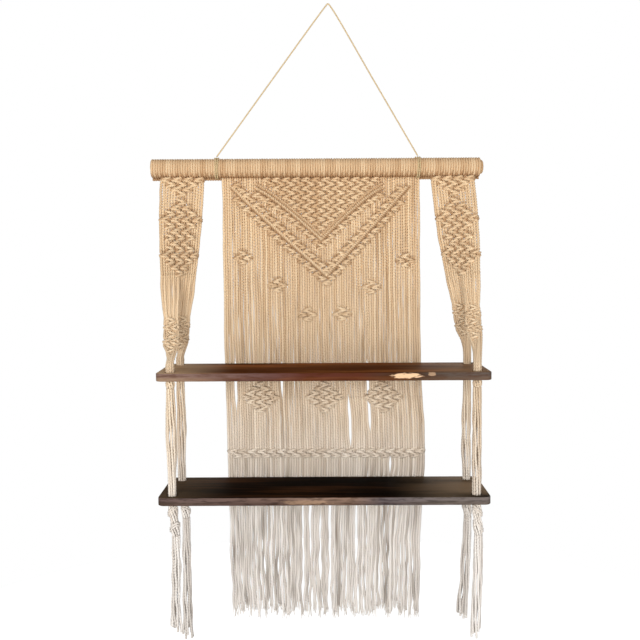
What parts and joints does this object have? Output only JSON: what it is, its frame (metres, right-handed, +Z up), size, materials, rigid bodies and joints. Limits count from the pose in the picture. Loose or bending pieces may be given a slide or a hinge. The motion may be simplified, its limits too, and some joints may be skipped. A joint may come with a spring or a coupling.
{
  "type": "hanging rope shelf",
  "caption": "Two-tier hanging shelf: wooden boards carried by knotted cotton ropes under a rope-wrapped dowel, with a knotted, fringed backdrop behind them.",
  "frame": {"origin": "the point of the hanging cord that lies on the nail", "axes": "+X to the right along the dowel, +Y towards the wall, +Z up"},
  "size_m": [0.648, 0.1758, 1.236],
  "materials": {
    "rope": "matt, twisted cotton",
    "cord": "matt, thin twisted cord",
    "dowel": "plain round wood",
    "board": "dark stained, satin"
  },
  "bodies": {
    "hanger": {"hanging_cord": "cord", "left_cord_tie": "cord", "right_cord_tie": "cord", "dowel": "dowel", "left_hitches": "rope", "center_hitches": "rope", "right_hitches": "rope"},
    "backdrop": {"backdrop_net": "rope", "inner_chevron": "rope", "chevron_band": "rope", "outer_chevron": "rope", "drop_strands": "rope", "left_diamond": "rope", "middle_diamond": "rope", "right_diamond": "rope", "middle_strands": "rope", "knot_band": "rope", "fringe": "rope"},
    "upper_shelf": {"left_panel_net": "rope", "right_panel_net": "rope", "left_front_leg": "rope", "left_back_leg": "rope", "right_front_leg": "rope", "right_back_leg": "rope", "upper_board": "board", "left_front_upper_knot": "rope", "left_back_upper_knot": "rope", "right_front_upper_knot": "rope", "right_back_upper_knot": "rope"},
    "front_ropes": {"left_front_rope": "rope", "right_front_rope": "rope"},
    "back_ropes": {"left_back_rope": "rope", "right_back_rope": "rope"},
    "lower_shelf": {"lower_board": "board", "left_front_lower_knot": "rope", "left_back_lower_knot": "rope", "right_front_lower_knot": "rope", "right_back_lower_knot": "rope", "left_front_tassel": "rope", "left_back_tassel": "rope", "right_front_tassel": "rope", "right_back_tassel": "rope"}
  },
  "joints": [
    {"name": "shelf_swing", "type": "hinge", "parent": "hanger", "child": "upper_shelf", "pos_m": [-0.012, 0, -0.315], "axis": [-1, 0, 0], "range_deg": [0, 15]},
    {"name": "backdrop_swing", "type": "hinge", "parent": "hanger", "child": "backdrop", "pos_m": [-0.012, 0, -0.315], "axis": [1, 0, 0], "range_deg": [0, 0.6]},
    {"name": "front_ropes_swing", "type": "hinge", "parent": "upper_shelf", "child": "front_ropes", "pos_m": [-0.012, -0.135, -0.7361], "axis": [-1, 0, 0], "range_deg": [0, 12]},
    {"name": "back_ropes_swing", "type": "hinge", "parent": "upper_shelf", "child": "back_ropes", "pos_m": [-0.012, -0.025, -0.7361], "axis": [-1, 0, 0], "range_deg": [0, 12]},
    {"name": "lower_shelf_level", "type": "hinge", "parent": "front_ropes", "child": "lower_shelf", "pos_m": [-0.012, -0.135, -0.9275], "axis": [-1, 0, 0], "range_deg": [-12, 0]}
  ],
  "couplings": [
    {"joint": "back_ropes_swing", "follows": "front_ropes_swing", "ratio": 1},
    {"joint": "lower_shelf_level", "follows": "front_ropes_swing", "ratio": -1}
  ]
}
